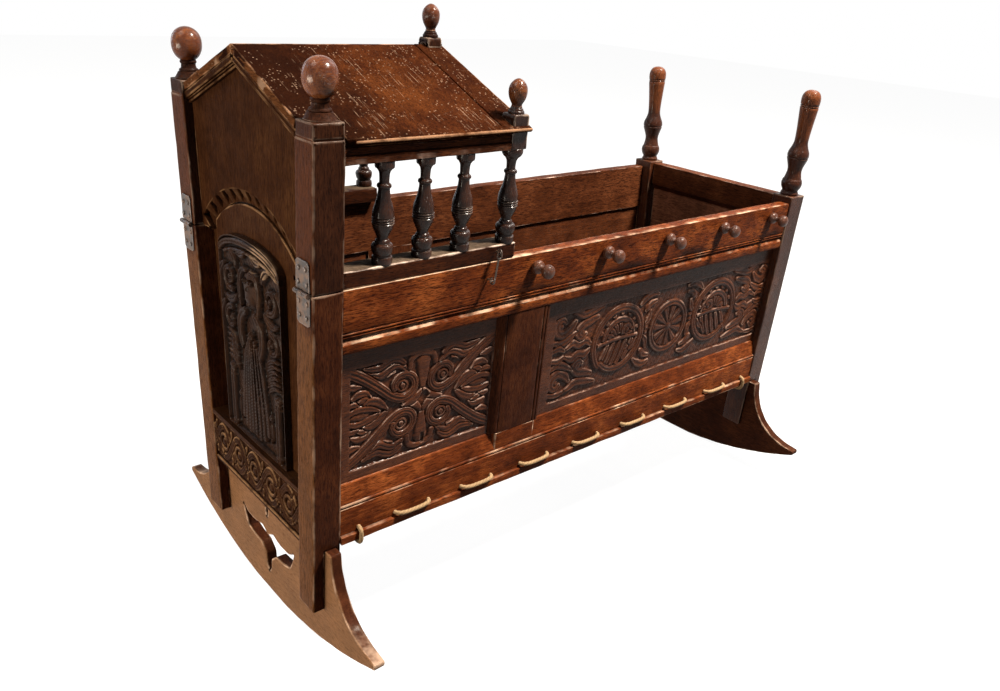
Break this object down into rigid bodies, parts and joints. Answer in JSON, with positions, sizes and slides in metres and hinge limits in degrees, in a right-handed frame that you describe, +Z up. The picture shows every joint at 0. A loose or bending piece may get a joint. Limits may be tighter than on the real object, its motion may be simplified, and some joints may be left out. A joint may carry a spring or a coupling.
{
  "type": "hooded rocking cradle",
  "caption": "Joined oak cradle on cross rockers, with carved panels, turned posts, a laced rope bed and a gabled hood that tips back on hinges and hooks down at one side.",
  "frame": {"origin": "centre of the plan, on the floor under the rockers", "axes": "+X towards the foot end along the cradle's length, +Y across towards the side without the hook, +Z up"},
  "size_m": [0.9562, 0.552, 0.797],
  "materials": {
    "oak_dark": "waxed dark oak",
    "oak_red": "waxed red-brown oak",
    "oak_worn": "rubbed oak",
    "iron": "dark forged",
    "rope": "laid hemp"
  },
  "bodies": {
    "cradle": {"head_post_near": "oak_dark", "foot_post_near": "oak_dark", "top_rail_near": "oak_red", "low_rail_near": "oak_red", "muntin_near": "oak_red", "head_side_panel_near": "oak_dark", "foot_side_panel_near": "oak_dark", "knob_near_1": "oak_worn", "knob_near_2": "oak_worn", "knob_near_3": "oak_worn", "knob_near_4": "oak_worn", "knob_near_5": "oak_worn", "hinge_lower_near": "iron", "head_post_far": "oak_dark", "foot_post_far": "oak_dark", "top_rail_far": "oak_red", "low_rail_far": "oak_red", "muntin_far": "oak_red", "head_side_panel_far": "oak_dark", "foot_side_panel_far": "oak_dark", "knob_far_1": "oak_worn", "knob_far_2": "oak_worn", "knob_far_3": "oak_worn", "knob_far_4": "oak_worn", "knob_far_5": "oak_worn", "hinge_lower_far": "iron", "foot_top_rail": "oak_red", "foot_low_rail": "oak_red", "foot_panel": "oak_dark", "chain_rail": "oak_worn", "head_panel": "oak_dark", "relief_board": "oak_worn", "rocker_head": "oak_red", "rocker_foot": "oak_dark", "bed_rope": "rope", "catch_eye": "iron"},
    "hood": {"hood_post_near": "oak_dark", "roof_near": "oak_red", "fascia_near": "oak_red", "bed_rail_near": "oak_red", "baluster_near_1": "oak_dark", "baluster_near_2": "oak_dark", "baluster_near_3": "oak_dark", "corner_post_near": "oak_dark", "hinge_upper_near": "iron", "hood_post_far": "oak_dark", "roof_far": "oak_red", "fascia_far": "oak_red", "bed_rail_far": "oak_red", "baluster_far_1": "oak_dark", "baluster_far_2": "oak_dark", "baluster_far_3": "oak_dark", "corner_post_far": "oak_dark", "hinge_upper_far": "iron", "gable_board": "oak_red", "front_arch": "oak_red", "ridge_acorn": "oak_dark", "hook_eye": "iron"},
    "hook": {"hook": "iron"}
  },
  "joints": [
    {"name": "hood_tip", "type": "hinge", "parent": "cradle", "child": "hood", "pos_m": [-0.47515, 0, 0.508], "axis": [0, -1, 0], "range_deg": [0, 175]},
    {"name": "hook_swing", "type": "hinge", "parent": "hood", "child": "hook", "pos_m": [-0.21835, -0.18399, 0.5184], "axis": [0, -1, 0], "range_deg": [0, 110]}
  ]
}
